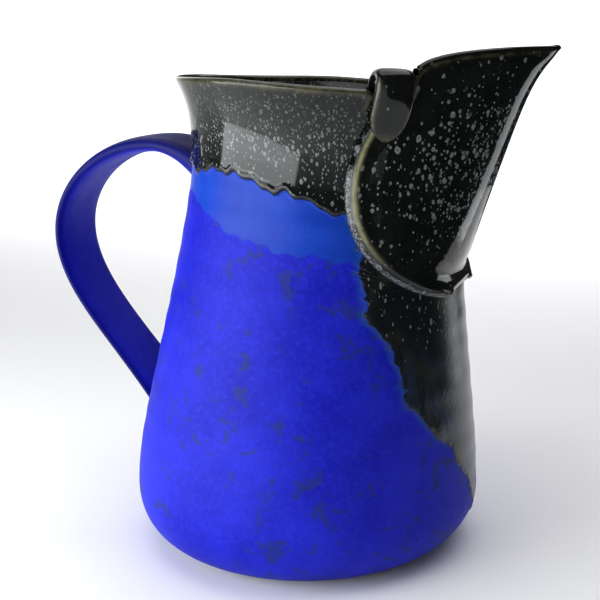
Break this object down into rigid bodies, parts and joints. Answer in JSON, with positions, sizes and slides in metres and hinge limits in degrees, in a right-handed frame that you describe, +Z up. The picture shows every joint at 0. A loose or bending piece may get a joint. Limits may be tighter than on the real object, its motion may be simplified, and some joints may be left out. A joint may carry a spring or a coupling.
{
  "type": "ceramic pitcher",
  "caption": "Thrown ceramic pitcher with a belly low down, a flared collar, a broad luted pouring spout, a pulled strap handle and clay lugs folded over the rim.",
  "frame": {"origin": "centre of the flat foot's underside, on the surface that the pitcher stands on", "axes": "+Z up, +X towards the tip of the spout, -X towards the handle"},
  "size_m": [0.2453, 0.167, 0.2331],
  "materials": {
    "blue_glaze": "satin matte ultramarine stoneware glaze",
    "black_glaze": "glossy black glaze with light oil spots and olive-gold breaks on the edges"
  },
  "bodies": {
    "root": {"body": "blue_glaze", "spout": "black_glaze", "handle": "blue_glaze", "near_lug": "black_glaze", "far_lug": "black_glaze"}
  },
  "joints": []
}
